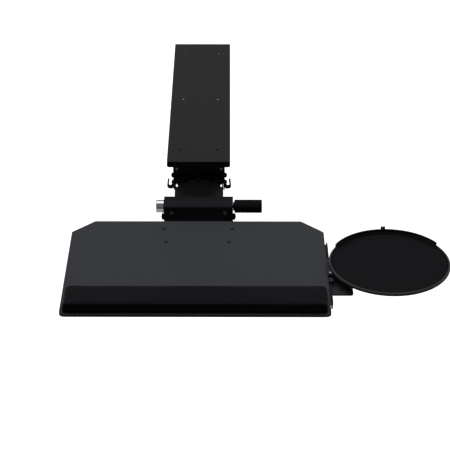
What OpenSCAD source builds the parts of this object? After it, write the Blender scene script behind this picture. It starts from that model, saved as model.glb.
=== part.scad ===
// Articulating keyboard tray for the underside of a desk.
// Millimetres. Origin: centre of the track's top face, +Z up into the desk,
// +X to the typist's right, -Y towards the typist.

/* [Track] */
// Length of the track
track_l = 559; // [480:1:640]
// Width of the track
track_w = 121; // [112:1:140]
// Height of the track's channel
track_h = 12; // [11.5:0.5:16]
// Sheet thickness of the track
track_t = 2; // [1.6:0.1:2.2]
// Width of the slot between the track's lips
track_gap = 80; // [70:1:86]
// Diameter of the desk screw holes
desk_hole_d = 5.2; // [4:0.1:6]
// Spacing of the desk screw holes across the track
desk_hole_dx = 70; // [50:1:74]
// Spacing of the outer desk screw holes along the track
desk_hole_dy = 460; // [380:1:470]
// Length of an end cap
cap_l = 8; // [5:0.5:14]

/* [Carriage] */
// Length of the carriage plate
carriage_l = 140; // [120:1:170]
// Thickness of the carriage plate
carriage_t = 3; // [2:0.1:3.5]
// Length of a glide
glide_l = 36; // [20:1:50]
// Width of a glide
glide_w = 12; // [9:0.5:14]
// Distance from the carriage's front edge to the swivel axis
swivel_setback = 66; // [60:1:74]
// Diameter of the swivel hub
hub_d = 60; // [44:1:66]
// Diameter of the swivel bolt
bolt_d = 12; // [8:0.5:14]
// Height of the swivel bolt's head
bolt_head_h = 2.9; // [2:0.1:3]
// Thickness of the swivel washer
washer_t = 0.8; // [0.5:0.1:2]

/* [Swivel bracket] */
// Outer width of the swivel bracket
bracket_w = 100; // [92:1:106]
// Plate thickness of the swivel bracket
bracket_t = 2.5; // [2:0.1:3]
// Reach of the bracket ahead of the swivel axis
bracket_front = 40; // [36:1:46]
// Upper pivot ahead of the swivel axis
pivot_fwd = 23; // [20:1:26]
// Upper pivot below the bracket's top face
pivot_drop = 40.5; // [38:0.5:50]
// Lower pivot behind the upper pivot
link_back = 8; // [6:0.5:9]
// Lower pivot below the upper pivot
link_drop = 19.6; // [19:0.1:24]
// Diameter of the pivot rods
rod_d = 7; // [5:0.5:7.5]
// Diameter of the pivot rods' heads
rod_head_d = 9.2; // [8:0.1:10]
// Height of the pivot rods' heads
rod_head_h = 4.5; // [2:0.1:5]
// Outer width of a cable hook
hook_w = 13; // [12.4:0.1:18]
// Height of a cable hook
hook_h = 17.5; // [15:0.5:19]
// Strip thickness of a cable hook
hook_t = 3.1; // [2:0.1:3.3]
// Length of a cable hook along the arm
hook_l = 10; // [6:0.5:12]

/* [Counterbalance springs] */
// Wire diameter
wire_d = 3.2; // [2.6:0.1:3.2]
// Number of turns in one spring
coil_turns = 5; // [3:1:5]
// Gap between turns
coil_gap = 0.7; // [0.6:0.05:0.8]

/* [Lift arm] */
// Horizontal distance between the arm's pivots at rest
arm_reach = 84; // [80:1:110]
// Vertical distance between the arm's pivots at rest
arm_fall = 45.4; // [40:0.2:52]
// Sheet thickness of the arm
arm_t = 2.5; // [2:0.1:3]
// Arm's top plate below the line through its pivots
web_drop = 6.5; // [6:0.1:7.5]
// Depth of the arm's side flanges below the line through its pivots
flange_depth = 18; // [14:0.5:20]
// Width of the levelling link
link_w = 56; // [50:1:58]
// Height of the levelling link
link_h = 10; // [9:0.5:10.5]

/* [Tilt head] */
// Width of the head
head_w = 132; // [128:1:140]
// Sheet thickness of the head
head_t = 2.5; // [2:0.1:3]
// Front face of the head ahead of the tilt pivot
head_front = 16.6; // [16:0.1:20]
// Back edge of the head behind the tilt pivot
head_back = 16; // [14:0.5:17]
// Top front edge of the head above the tilt pivot
head_rise_front = 30.9; // [30:0.1:36]
// Top back edge of the head above the tilt pivot
head_rise_back = 35.9; // [35:0.1:40]
// Lower edge of the head's front face below the tilt pivot
head_skirt = 3.1; // [2.5:0.1:3.6]
// Radius of the head's top front edge
head_round = 6; // [3:0.5:8]
// Diameter of the tilt pivot rod
tilt_rod_d = 10; // [8:0.5:10]
// Diameter of the tilt pivot's bolt heads
tilt_head_d = 13; // [12:0.5:16]
// Height of the tilt pivot's bolt heads
tilt_head_h = 5.5; // [3:0.1:7]
// Dial axis behind the tilt pivot
dial_back = 5; // [4:0.1:6]
// Dial axis above the tilt pivot
dial_up = 19.9; // [19.5:0.1:21]
// Diameter of the dial shaft
shaft_d = 8; // [6:0.5:8]
// Diameter of the knob
knob_d = 25.4; // [20:0.2:27]
// Length of the knob
knob_l = 52.7; // [30:0.1:70]
// Number of grooves round the knob
knob_grooves = 24; // [12:1:30]
// Diameter of the knob's collar
collar_d = 17; // [16:0.5:20]
// Diameter of the polished end cap
end_cap_d = 24.8; // [20:0.1:27]
// Length of the polished end cap
end_cap_l = 15; // [8:0.5:20]
// Travel of the tilt nut each way
nut_travel = 12; // [10:0.5:14]
// Diameter of the tilt nut's guide pin
guide_d = 6; // [5:0.5:6]

/* [Board] */
// Width of the board
board_w = 471; // [420:1:560]
// Depth of the board
board_d = 326; // [300:1:360]
// Thickness of the board
board_t = 4.5; // [4:0.1:5]
// Cut across the board's back corners
board_cut = 41; // [20:1:60]
// Radius of the board's front corners
board_round = 10; // [4:1:16]
// Back edge of the board ahead of the tilt pivot
board_fwd = 42; // [40:0.5:50]
// Top of the board above the tilt pivot
board_rise = 13.4; // [13:0.1:14]
// Back pair of board screws outside the tray bracket's ears
screw_back_out = 6.3; // [6:0.1:12]
// Spacing of the front pair of board screws
screw_front_dx = 116.8; // [100:0.2:124]
// Back pair of board screws ahead of the board's back edge
screw_back_in = 29.2; // [22:0.2:34]
// Front pair of board screws ahead of the board's back edge
screw_front_in = 77.4; // [74:0.2:84]
// Depth of the step under the palm rest
palm_step = 0.5; // [0.3:0.1:1]

/* [Palm rest] */
// Depth of the palm rest
palm_d = 75; // [60:1:90]
// Height of the palm rest at its crest
palm_h = 18; // [12:0.5:24]
// Height of the palm rest at its back edge
palm_back_h = 14; // [9:0.5:16]
// Radius of the palm rest's front edge
palm_front_r = 10; // [6:0.5:13]
// Radius of the palm rest's back edge
palm_back_r = 4.5; // [3:0.5:8]
// Palm rest's ends inside the board's sides
palm_side = 4; // [3:0.5:20]
// Palm rest's front inside the board's front edge
palm_front = 3.5; // [3:0.5:12]

/* [Mouse platform] */
// Diameter of the mouse platform
disc_d = 219; // [180:1:230]
// Thickness of the mouse platform's rim
disc_t = 5.5; // [5:0.1:7]
// Platform's lower face above the board's top
disc_rise = 6.5; // [6:0.1:9]
// Direction of the platform's centre from its pivot, behind straight right
disc_aim = 15.4; // [10:0.1:24]
// Width of the platform's lip
lip_w = 3.6; // [3:0.1:6]
// Depth from the lip to the mouse mat
mat_drop = 1.5; // [1:0.1:1.8]
// Thickness of the mouse mat
mat_t = 1.5; // [1:0.1:1.8]
// Height of the back fence above the lip
fence_h = 5.4; // [3:0.1:10]
// Angle that the back fence covers
fence_angle = 117; // [60:1:150]
// Length of the mouse rail
rail_l = 220; // [200:1:260]
// Back end of the rail ahead of the board's back edge
rail_in = 75; // [60:1:90]
// Gap between the board's edge and the rail's lip
rail_gap = 2.7; // [2.6:0.1:4]
// Width of the rail's flange under the board
rail_flange = 32; // [28:0.5:44]
// Sheet thickness of the rail
rail_t = 2.5; // [2:0.1:3]
// Rail lip's top below the board's top
rail_low = 2; // [1.8:0.1:2.4]
// Length of the clip's hook on the rail
clip_l = 70; // [50:1:90]
// Width of the clip's shelf outside the rail
shelf_w = 34; // [24:1:50]
// Shelf's front edge ahead of the swing pin
shelf_fwd = 51.5; // [30:0.1:60]
// Swing pin ahead of the board's back edge
pin_in = 196.5; // [185:0.5:205]
// Diameter of the swing pin
pin_d = 2.8; // [2.4:0.1:3.4]

/* [Hidden] */
$fn = 64;

// Clearances
run_gap = 0.4;
side_gap = 0.3;
seat_gap = 0.1;
bore_gap = 0.05;
slot_gap = 0.6;

// Plain fastener and fitting sizes
stop_gap = 0.5;
hub_clear = 2.7;
bolt_head_d = 26;
nut_af = 17;
nut_h = 8;
bush_wall = 1.5;
ring_wall = 5.5;
spacer_wall = 2;
small_screw_d = 4;
small_head_d = 7;
small_head_h = 2.2;
rivet_d = 4;
csk_d = 8.4;
arc_steps = 6;

// Finishes
paint = [0.07, 0.07, 0.075];
nylon = [0.16, 0.16, 0.17];
bright = [0.78, 0.79, 0.80];
zinc = [0.55, 0.56, 0.58];
board_black = [0.17, 0.17, 0.18];
skin = [0.08, 0.08, 0.09];
rubber = [0.09, 0.09, 0.10];

// Track channel
channel_w = track_w - 2 * track_t;
channel_top = -track_t;
channel_floor = -(track_h - track_t);
track_edge_r = 4;
track_bend_r = track_edge_r - track_t;

// Carriage
swivel_y = -track_l / 2 + cap_l + stop_gap + swivel_setback;
carriage_front = swivel_y - swivel_setback;
carriage_top = channel_top - run_gap - bolt_head_h;
carriage_under = carriage_top - carriage_t;
glide_edge = channel_w / 2 - side_gap;
glide_top = channel_top - side_gap;
glide_under = channel_floor + side_gap;
shoe_wall = 5;
plate_w = 2 * (glide_edge - shoe_wall);
hub_under = -track_h - hub_clear;
bracket_top = hub_under - washer_t;
bracket_under = bracket_top - bracket_t;

// Pivots, as [y, z]
pivot_a = [swivel_y - pivot_fwd, bracket_top - pivot_drop];
pivot_c = pivot_a + [link_back, -link_drop];
pivot_b = pivot_a - [arm_reach, arm_fall];
pivot_d = pivot_b + (pivot_c - pivot_a);
arm_l = norm(pivot_b - pivot_a);
arm_slope = atan2(arm_fall, arm_reach);

// Swivel bracket
bracket_in = bracket_w / 2 - bracket_t;
ring_r = rod_d / 2 + ring_wall;
bracket_face = swivel_y - bracket_front;
nut_r = nut_af / 2 / cos(30);
wall_y = swivel_y + nut_r + 1;
bracket_low = pivot_c[1] - ring_r - 1.5;
apron_low = pivot_a[1] + ring_r + 5;
hook_y = pivot_c[0] - ring_r - hook_l / 2 + 2;
hook_z = pivot_c[1] - 5.6;
hook_r = 3.2;
hook_lean = 2;
hook_tab_h = 11.5;
hook_rivet_at = [hook_y, hook_z + hook_tab_h - 4];
apron_rivet_d = 3;
apron_rivet_x = bracket_in - 5;
apron_rivet_z = bracket_top - 17.7;

// Lift arm, across the arm
arm_out = bracket_in - side_gap;
arm_in = arm_out - arm_t;
tongue_w = 14.7;
relief_w = 3;
relief_l = 8;
relief_at = 14.8;
web_front = 32;
front_ring_r = tilt_rod_d / 2 + bush_wall + 1.5;

// Levelling link and yoke, across the arm
link_out = link_w / 2;
link_t = 2.5;
yoke_in = link_out + run_gap;
yoke_t = 3;
yoke_out = yoke_in + yoke_t;
yoke_ring = tilt_rod_d / 2 + 5;
slot_plate_t = 2.5;
slot_plate_low = tilt_rod_d / 2 + 1.2;
slot_mid = slot_plate_low + slot_plate_t / 2;
tilt_limit = 15;

// Tilt head
cheek_in = head_w / 2 - head_t;
tray_ear_t = 2.5;
tray_ear_out = cheek_in - 5;
tray_ear_in = tray_ear_out - tray_ear_t;
dial = pivot_b + [dial_back, dial_up];
front_face = pivot_b[0] - head_front;
head_screw_z = pivot_b[1] + head_rise_front - 12.9;
head_screw_x = tray_ear_in - 5.4;
tab_up = 5.5;
tab_down = 6;
dial_bush_r = shaft_d / 2 + 2.5;

// Board
board_back = pivot_b[0] - board_fwd;
board_front = board_back - board_d;
board_top = pivot_b[1] + board_rise;
board_low = board_top - board_t;
palm_y0 = board_front + palm_front;
palm_y1 = palm_y0 + palm_d;
palm_w = board_w - 2 * palm_side;
screw_back_x = tray_ear_out + screw_back_out;
board_screws_at = [
    for (s = [-1, 1]) each [
        [s * screw_back_x, board_back - screw_back_in],
        [s * screw_front_dx / 2, board_back - screw_front_in]
    ]
];
tray_plate_t = 2.5;
tray_plate_low = board_low - tray_plate_t;
tray_plate_w = max(2 * screw_back_x, screw_front_dx) + 26;
tray_plate_y0 = board_back - screw_front_in - 26;
ear_reach = 64;
board_nut_h = 4;
board_nut_af = 7.8;

// Mouse rail and clip
rail_in_x = board_w / 2 + rail_gap;
rail_out_x = rail_in_x + rail_t;
rail_top = board_top - rail_low;
rail_under = board_low - rail_t;
rail_y1 = board_back - rail_in;
rail_y0 = rail_y1 - rail_l;
rail_screw_x = rail_out_x - rail_flange + 6.5;
finger_t = rail_gap - 2 * slot_gap;
clip_x0 = board_w / 2 + slot_gap;
clip_wall_x0 = rail_out_x + slot_gap;
clip_wall_t = 3;
clip_x1 = clip_wall_x0 + clip_wall_t;
clip_bar_low = rail_top + side_gap;
clip_bar_top = clip_bar_low + 3;
shelf_top = rail_under - side_gap;
shelf_t = 2.7;
shelf_low = shelf_top - shelf_t;
shelf_hole_in = 15;
shelf_hole_out = 13;
pin_x = rail_out_x - 1.1;
pin_y = board_back - pin_in;
pin_head_d = pin_d + 1.2;
pin_head_h = 1.2;
boss_r = pin_d / 2 + 2.2;
clip_y0 = pin_y - 21;
disc_low = board_top + disc_rise;
disc_top = disc_low + disc_t;
disc_out = disc_d / 2 + pin_head_d / 2 + 0.5;
disc_c = [pin_x, pin_y] + disc_out * [cos(disc_aim), sin(disc_aim)];
swing_t = 2.5;
swing_low = disc_low - swing_t;
boss_top = swing_low - 0.2;
swing_left = 4.5;
swing_back = 50;
swing_front = 7;
swing_wide_at = 30;
swing_wide = [34, 30];
swing_tip = 20;
mat_r = disc_d / 2 - lip_w - 0.6;
fence_turn = 1.8;
fence_in = 0.4;
platform_screws_at = [
    disc_c + [-20, 0],
    disc_c + [-62, 14],
    disc_c + [-62, -18]
];

// Outline helpers

function unit(v) = v / norm(v);

function arc(c, r, a0, a1, n = arc_steps) =
    [for (i = [0:n]) let (a = a0 + (a1 - a0) * i / n) c + r * [cos(a), sin(a)]];

// Points of a corner rounded to radius r, limited by its two sides
function corner(p0, p, p1, r, n = arc_steps) =
    let (
        u = unit(p0 - p),
        v = unit(p1 - p),
        half = acos(max(-1, min(1, u * v))) / 2,
        cut = min(r / tan(half), 0.49 * norm(p0 - p), 0.49 * norm(p1 - p)),
        rr = cut * tan(half),
        c = p + unit(u + v) * (rr / sin(half)),
        from = p + u * cut - c,
        to = p + v * cut - c,
        a0 = atan2(from[1], from[0]),
        turn = atan2(from[0] * to[1] - from[1] * to[0], from * to)
    )
    rr < 0.01 ? [p] : arc(c, rr, a0, a0 + turn, n);

function rounded(pts, radii) =
    let (n = len(pts))
    [for (i = [0:n - 1]) each corner(pts[(i + n - 1) % n], pts[i], pts[(i + 1) % n], radii[i])];

// Angle at which a line from point p touches the circle at c, on one side or the other
function touch(c, r, p, side) = atan2(p[1] - c[1], p[0] - c[0]) + side * acos(r / norm(p - c));

// Outline of a belt round two circles, the second ahead of the first along -Y
function belt(c0, r0, c1, r1) =
    let (
        axis = atan2(c1[1] - c0[1], c1[0] - c0[0]),
        lean = acos((r0 - r1) / norm(c1 - c0))
    )
    concat(arc(c0, r0, axis + lean, axis + 360 - lean, 2 * arc_steps),
           arc(c1, r1, axis - lean, axis + lean, 2 * arc_steps));

// Solid helpers

// Outline in [y, z], extruded along X
module side_plate(x0, t, pts) {
    translate([x0, 0, 0])
        rotate([90, 0, 90])
            linear_extrude(t)
                polygon(pts);
}

// The same plate on both sides of the middle plane
module side_pair(x0, t, pts) {
    side_plate(x0, t, pts);
    side_plate(-x0 - t, t, pts);
}

// Round bar along X through [y, z]
module x_bar(r, x0, x1, at) {
    translate([x0, at[0], at[1]])
        rotate([0, 90, 0])
            cylinder(r = r, h = x1 - x0);
}

// Tube along X through [y, z]
module x_tube(r, bore, x0, x1, at) {
    difference() {
        x_bar(r, x0, x1, at);
        x_bar(bore, x0 - 1, x1 + 1, at);
    }
}

// Domed head on the +Z side of the origin
module dome_head(d, h) {
    rotate_extrude()
        polygon(concat([[0, 0], [d / 2, 0]], [for (a = [0:15:75]) [d / 2 * cos(a), h / 2 + h / 2 * sin(a)]],
                       [[0, h]]));
}

// Domed head facing +X at [y, z]
module x_head(d, h, x, at) {
    translate([x, at[0], at[1]])
        rotate([0, 90, 0])
            dome_head(d, h);
}

// Rod across the middle plane with a domed head on each end
module headed_rod(d, half, head_d, head_h, at) {
    x_bar(d / 2, -half, half, at);
    for (s = [0, 1])
        mirror([s, 0, 0])
            x_head(head_d, head_h, half, at);
}

module hex(af, h) {
    cylinder(d = af / cos(30), h = h, $fn = 6);
}

// Upright block from two corners
module block(a, b) {
    translate(a)
        cube(b - a);
}

// Upright plate with rounded corners in plan
module plan_plate(pts, radii, z0, z1) {
    translate([0, 0, z0])
        linear_extrude(z1 - z0)
            polygon(rounded(pts, radii));
}

function box_pts(x0, y0, x1, y1) = [[x0, y0], [x1, y0], [x1, y1], [x0, y1]];

// Track

module channel_profile() {
    difference() {
        polygon(rounded(box_pts(-track_w / 2, -track_h, track_w / 2, 0),
                        [track_edge_r, track_edge_r, 1, 1]));
        polygon(rounded(box_pts(-channel_w / 2, channel_floor, channel_w / 2, channel_top),
                        [track_bend_r, track_bend_r, 0, 0]));
        polygon(box_pts(-track_gap / 2, -track_h - 1, track_gap / 2, channel_floor + 1));
    }
}

module track() {
    color(paint)
        difference() {
            translate([0, track_l / 2, 0])
                rotate([90, 0, 0])
                    linear_extrude(track_l)
                        channel_profile();
            for (x = [-1, 1], y = [-1, 0, 1])
                translate([x * desk_hole_dx / 2, y * desk_hole_dy / 2, channel_top - 1])
                    cylinder(d = desk_hole_d, h = track_t + 2);
        }
}

// Plug that fills the channel and the slot between its lips
module end_cap_profile() {
    polygon(rounded(box_pts(-channel_w / 2 + seat_gap, channel_floor + seat_gap,
                            channel_w / 2 - seat_gap, channel_top - seat_gap),
                    [track_bend_r, track_bend_r, 0, 0]));
    polygon(box_pts(-track_gap / 2 + seat_gap, -track_h, track_gap / 2 - seat_gap, channel_floor + 1));
}

module track_end_caps() {
    color(nylon)
        for (y = [-track_l / 2 + cap_l, track_l / 2])
            translate([0, y, 0])
                rotate([90, 0, 0])
                    linear_extrude(cap_l)
                        end_cap_profile();
}

// Carriage

module carriage_plate() {
    y0 = carriage_front;
    y1 = carriage_front + carriage_l;
    window_w = plate_w - 2 * glide_w - 16;
    color(zinc)
        difference() {
            plan_plate(box_pts(-plate_w / 2, y0, plate_w / 2, y1), [6, 6, 6, 6], carriage_under, carriage_top);
            translate([0, swivel_y, carriage_under - 1])
                cylinder(d = bolt_d + 2 * bore_gap, h = carriage_t + 2);
            plan_plate(box_pts(-window_w / 2, y1 - 26, window_w / 2, y1 - 12), [5, 5, 5, 5],
                       carriage_under - 1, carriage_top + 1);
        }
}

// Shoe that wraps the plate's edge and runs in the channel
module glide(y0) {
    x0 = glide_edge - glide_w;
    translate([0, y0 + glide_l, 0])
        rotate([90, 0, 0])
            linear_extrude(glide_l)
                difference() {
                    polygon(rounded(box_pts(x0, glide_under, glide_edge, glide_top), [0, track_bend_r, 0, 0]));
                    polygon(box_pts(x0 - 1, carriage_under, plate_w / 2, carriage_top));
                }
}

module carriage_glides() {
    color(nylon)
        for (s = [0, 1], y = [carriage_front + 7, carriage_front + carriage_l - 7 - glide_l])
            mirror([s, 0, 0])
                glide(y);
}

module swivel_hub() {
    color(zinc)
        translate([0, swivel_y, hub_under])
            difference() {
                cylinder(d = hub_d, h = carriage_under - hub_under);
                translate([0, 0, -1])
                    cylinder(d = bolt_d + 2 * bore_gap, h = carriage_under - hub_under + 2);
            }
}

module swivel_washer() {
    color(nylon)
        translate([0, swivel_y, bracket_top])
            difference() {
                cylinder(d = hub_d, h = washer_t);
                translate([0, 0, -1])
                    cylinder(d = bolt_d + 2 * bore_gap, h = washer_t + 2);
            }
}

module swivel_bolt() {
    tip = bracket_under - nut_h - 2.5;
    color(zinc)
        translate([0, swivel_y, 0]) {
            translate([0, 0, tip])
                cylinder(d = bolt_d, h = carriage_top - tip);
            translate([0, 0, carriage_top])
                cylinder(d = bolt_head_d, h = bolt_head_h);
        }
}

module swivel_nut() {
    color(zinc)
        translate([0, swivel_y, bracket_under - seat_gap - nut_h])
            difference() {
                hex(nut_af, nut_h);
                translate([0, 0, -1])
                    cylinder(d = bolt_d + 2 * bore_gap, h = nut_h + 2);
            }
}

// Swivel bracket

module bracket_cheek_holes() {
    for (p = [pivot_a, pivot_c])
        x_bar(rod_d / 2 + bore_gap, -bracket_w, bracket_w, p);
    x_bar(rivet_d / 2 + bore_gap, -bracket_w, bracket_w, hook_rivet_at);
}

// Children along -Y from the apron's front face, at both of its rivets
module at_apron_rivets() {
    for (s = [-1, 1])
        translate([s * apron_rivet_x, bracket_face, apron_rivet_z])
            rotate([90, 0, 0])
                children();
}

module swivel_bracket() {
    cheek = rounded([[bracket_face, bracket_top], [bracket_face, pivot_a[1] - 4],
                     [pivot_c[0] - 17, bracket_low], [wall_y + bracket_t, bracket_low],
                     [wall_y + bracket_t, bracket_top]],
                    [0, 8, 8, 0, 0]);
    color(paint)
        difference() {
            union() {
                side_pair(bracket_in, bracket_t, cheek);
                block([-bracket_in - 1, bracket_face, bracket_under], [bracket_in + 1, swivel_y, bracket_top]);
                intersection() {
                    translate([0, swivel_y, bracket_under])
                        cylinder(r = bracket_w / 2, h = bracket_t);
                    block([-bracket_w, swivel_y - 1, bracket_under],
                          [bracket_w, swivel_y + bracket_w, bracket_top]);
                }
                block([-bracket_in - 1, wall_y, bracket_low],
                      [bracket_in + 1, wall_y + bracket_t, bracket_under + 1]);
                block([-bracket_in - 1, bracket_face, apron_low],
                      [bracket_in + 1, bracket_face + bracket_t, bracket_under + 1]);
            }
            bracket_cheek_holes();
            at_apron_rivets()
                translate([0, 0, -bracket_t - 1])
                    cylinder(d = apron_rivet_d + 2 * bore_gap, h = bracket_t + 2);
            translate([0, swivel_y, bracket_under - 1])
                cylinder(d = bolt_d + 2 * bore_gap, h = bracket_t + 2);
        }
}

// Domed in front, flush behind
module apron_rivets() {
    color(zinc)
        at_apron_rivets() {
            translate([0, 0, -bracket_t])
                cylinder(d = apron_rivet_d, h = bracket_t);
            dome_head(apron_rivet_d + 1.8, 1.2);
        }
}

// Strip that leaves the cheek at its lower edge, runs out and turns up
module cable_hook_profile() {
    x0 = bracket_w / 2;
    x1 = x0 + hook_w;
    in0 = x0 + hook_t;
    in1 = x1 - hook_t;
    low = hook_z + hook_t;
    top = hook_z + hook_h;
    over = top + 1;
    difference() {
        polygon(rounded([[x0, hook_z], [x1, hook_z], [x1 - hook_lean, top], [x0, top]],
                        [hook_r, hook_r + hook_t, hook_t / 2.1, 0]));
        polygon(rounded([[in0, low], [in1, low], [in1 - hook_lean, over], [in0, over]],
                        [hook_r, hook_r, 0, 0]));
        polygon(box_pts(x0 - 1, hook_z + hook_tab_h, in0 + 1, over));
    }
}

module cable_hook() {
    color(paint)
        difference() {
            translate([0, hook_y + hook_l / 2, 0])
                rotate([90, 0, 0])
                    linear_extrude(hook_l)
                        cable_hook_profile();
            x_bar(rivet_d / 2 + bore_gap, 0, bracket_w / 2 + hook_t + 1, hook_rivet_at);
        }
}

module cable_hook_right() {
    cable_hook();
}

module cable_hook_left() {
    mirror([1, 0, 0])
        cable_hook();
}

// Flush on both sides, as the arm runs close inside the cheeks
module hook_rivets() {
    color(paint)
        for (s = [0, 1])
            mirror([s, 0, 0])
                x_bar(rivet_d / 2, bracket_in, bracket_w / 2 + hook_t, hook_rivet_at);
}

module upper_pivot_rod() {
    color(zinc)
        headed_rod(rod_d, bracket_w / 2, rod_head_d, rod_head_h, pivot_a);
}

module lower_pivot_rod() {
    color(zinc)
        headed_rod(rod_d, bracket_w / 2, rod_head_d, rod_head_h, pivot_c);
}

// Counterbalance springs on the upper pivot

wire_r = wire_d / 2;
coil_pitch = wire_d + coil_gap;
coil_r = web_drop + arm_t + run_gap + wire_r;
coil_sweep = 360 * coil_turns + 180 - arm_slope;
coil_x0 = wire_r + slot_gap;
coil_x1 = coil_x0 + coil_sweep / 360 * coil_pitch;
mandrel_r = coil_r - wire_r - slot_gap;
wire_sides = 6;
rings_per_turn = 8;

module spring_mandrel() {
    color(nylon)
        x_tube(mandrel_r, rod_d / 2 + bore_gap, -coil_x1 - 2, coil_x1 + 2, pivot_a);
}

// Wire's centre line: a leg against the back wall, the coils, and a leg under the arm's top plate
coil_steps = ceil(coil_sweep / 360 * rings_per_turn);
coil_a0 = 90;
coil_a1 = coil_a0 - coil_sweep;
leg_back = wall_y - pivot_a[0] - side_gap;
leg_front = 24;
leg_dir = [-cos(arm_slope), -sin(arm_slope)];
function coil_point(i) =
    let (
        t = i / coil_steps,
        a = coil_a0 + (coil_a1 - coil_a0) * t
    )
    [coil_x0 + (coil_x1 - coil_x0) * t, pivot_a[0] + coil_r * cos(a), pivot_a[1] + coil_r * sin(a)];
coil_pts = [for (i = [0:coil_steps]) coil_point(i)];
coil_start = coil_pts[0];
coil_end = coil_pts[coil_steps];
wire_path = concat(
    [coil_start + [0, leg_back, 0], coil_start + [0, leg_back / 2, 0]],
    coil_pts,
    [for (f = [0.5, 1]) coil_end + [0, leg_dir[0], leg_dir[1]] * leg_front * f]
);
wire_n = len(wire_path);

function wire_ring(i) =
    let (
        t = unit(wire_path[min(i + 1, wire_n - 1)] - wire_path[max(i - 1, 0)]),
        side = unit([1, 0, 0] - t * t[0]),
        up = cross(t, side)
    )
    [for (k = [0:wire_sides - 1]) let (a = 360 * k / wire_sides)
        wire_path[i] + wire_r * (cos(a) * side + sin(a) * up)];

wire_points = [for (i = [0:wire_n - 1]) each wire_ring(i)];
wire_faces = concat(
    [for (k = [1:wire_sides - 2]) [0, k, k + 1]],
    [for (i = [0:wire_n - 2], k = [0:wire_sides - 1])
        let (a = i * wire_sides + k, b = i * wire_sides + (k + 1) % wire_sides)
        each [[a, a + wire_sides, b], [b, a + wire_sides, b + wire_sides]]],
    [for (k = [1:wire_sides - 2]) let (e = (wire_n - 1) * wire_sides) [e, e + k + 1, e + k]]
);

// Least gap of the wire to itself, between points at least half a turn apart
wire_gap = min([for (i = [0:wire_n - 1], j = [i + rings_per_turn / 2:wire_n - 1])
    if (j < wire_n) norm(wire_path[i] - wire_path[j]) - wire_d]);
echo(least_gap_between_spring_turns = wire_gap);

module counterbalance_springs() {
    color(zinc)
        for (s = [0, 1])
            mirror([s, 0, 0])
                polyhedron(points = wire_points, faces = wire_faces);
}

module link_spacers() {
    color(nylon)
        for (s = [0, 1])
            mirror([s, 0, 0])
                x_tube(rod_d / 2 + spacer_wall, rod_d / 2 + bore_gap,
                       link_out + side_gap, arm_in - run_gap, pivot_c);
}

// Lift arm, in its own frame: the upper pivot at the origin, the front pivot at -Y

front_pivot = [-arm_l, 0];
tongue_l = sqrt(pow(coil_r + wire_r + 1, 2) - pow(web_drop, 2));
origin_2d = [0, 0];

// Side flange: an ear round each pivot, drawn down to the top plate between them
flange_pts = let (
        rear_top = [-21.7, -web_drop],
        front_top = [-arm_l + 14, -web_drop],
        front_low = [-arm_l + 24, -flange_depth],
        rear_low = [-27, -flange_depth],
        rear_neck = [-18, -web_drop - arm_t - 0.5]
    )
    concat(
        arc(origin_2d, ring_r, touch(origin_2d, ring_r, rear_neck, 1) - 360,
            touch(origin_2d, ring_r, rear_top, -1), 2 * arc_steps),
        [rear_top, front_top],
        arc(front_pivot, front_ring_r, touch(front_pivot, front_ring_r, front_top, 1),
            touch(front_pivot, front_ring_r, front_low, -1) + 360, 2 * arc_steps),
        [front_low, rear_low, rear_neck]
    );

module arm_frame() {
    translate([0, pivot_a[0], pivot_a[1]])
        rotate([arm_slope, 0, 0])
            children();
}

module arm_channel() {
    web_y0 = -arm_l + web_front;
    notch_w = arm_in - tongue_w;
    color(paint)
        arm_frame()
            difference() {
                union() {
                    side_pair(arm_in, arm_t, flange_pts);
                    block([-arm_in - 1, web_y0, -web_drop - arm_t], [arm_in + 1, -tongue_l, -web_drop]);
                    for (s = [0, 1])
                        mirror([s, 0, 0])
                            block([notch_w, -tongue_l - 1, -web_drop - arm_t], [arm_in + 1, 0, -web_drop]);
                }
                for (s = [0, 1])
                    mirror([s, 0, 0])
                        block([arm_in - relief_w, -relief_at - relief_l, -web_drop - arm_t - 1],
                              [arm_in, -relief_at, -web_drop + 1]);
                x_bar(rod_d / 2 + bush_wall + bore_gap, -bracket_w, bracket_w, origin_2d);
                x_bar(tilt_rod_d / 2 + bush_wall + bore_gap, -bracket_w, bracket_w, front_pivot);
            }
}

module arm_bushes() {
    color(nylon)
        for (s = [0, 1])
            mirror([s, 0, 0]) {
                x_tube(rod_d / 2 + bush_wall, rod_d / 2 + bore_gap, arm_in, arm_out, pivot_a);
                x_tube(tilt_rod_d / 2 + bush_wall, tilt_rod_d / 2 + bore_gap, arm_in, arm_out, pivot_b);
            }
}

// Levelling link, a shallow channel that opens upwards

link_ring = rod_d / 2 + bush_wall + 2;

module lower_link() {
    neck = asin(link_h / 2 / link_ring);
    link_pts = concat(arc(origin_2d, link_ring, neck - 180, 180 - neck, 2 * arc_steps),
                      arc(front_pivot, link_ring, neck, 360 - neck, 2 * arc_steps));
    mid_low = -link_h / 2;
    color(paint)
        translate([0, pivot_c[0], pivot_c[1]])
            rotate([arm_slope, 0, 0])
                difference() {
                    union() {
                        side_pair(link_out - link_t, link_t, link_pts);
                        block([-link_out + link_t / 2, -arm_l + 14, mid_low],
                              [link_out - link_t / 2, -14, mid_low + link_t]);
                    }
                    x_bar(rod_d / 2 + bush_wall + bore_gap, -link_w, link_w, origin_2d);
                    x_bar(rod_d / 2 + side_gap, -link_w, link_w, front_pivot);
                }
}

module link_bushes() {
    color(nylon)
        for (s = [0, 1])
            mirror([s, 0, 0])
                x_tube(rod_d / 2 + bush_wall, rod_d / 2 + bore_gap, link_out - link_t, link_out, pivot_c);
}

// Yoke that stays level: it joins the arm to the link and carries the slanted slot

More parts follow.
